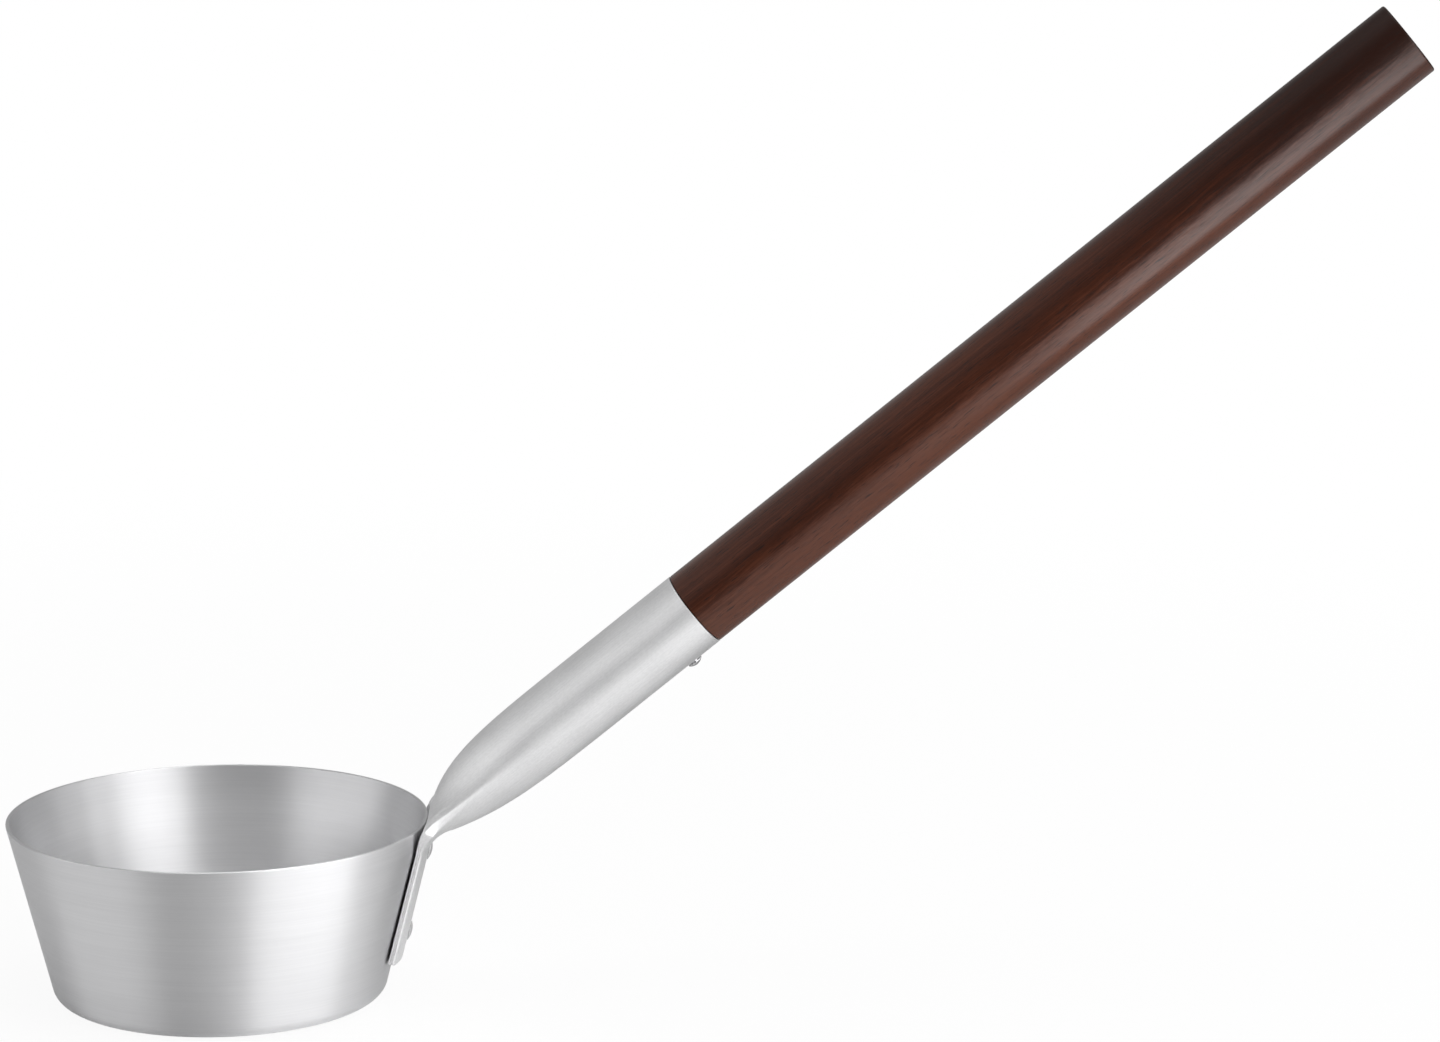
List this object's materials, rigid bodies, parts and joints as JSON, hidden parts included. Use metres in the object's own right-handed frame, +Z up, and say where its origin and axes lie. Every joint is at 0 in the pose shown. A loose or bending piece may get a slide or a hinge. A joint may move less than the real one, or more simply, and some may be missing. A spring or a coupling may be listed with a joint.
{
  "type": "sauna ladle",
  "caption": "Sauna ladle: tapered spun metal bowl with a flat base, a pressed tube socket riveted to its wall and a straight dark wooden handle.",
  "frame": {"origin": "centre of the bowl's flat base, on the surface that the ladle is set down on", "axes": "+Z up along the bowl's axis, +X towards the handle, which rises in the XZ plane"},
  "size_m": [0.3871, 0.1158, 0.2733],
  "materials": {
    "spun_aluminium": "spun, with fine lines round the bowl",
    "satin_aluminium": "satin, with fine lines along the tube",
    "rivet_aluminium": "bright as set",
    "dark_wood": "dark stain under satin lacquer",
    "plated_steel": "bright plated"
  },
  "bodies": {
    "root": {"bowl": "spun_aluminium", "handle_socket": "satin_aluminium", "wooden_handle": "dark_wood", "upper_bowl_rivet": "rivet_aluminium", "lower_bowl_rivet": "rivet_aluminium", "handle_screw": "plated_steel"}
  },
  "joints": []
}
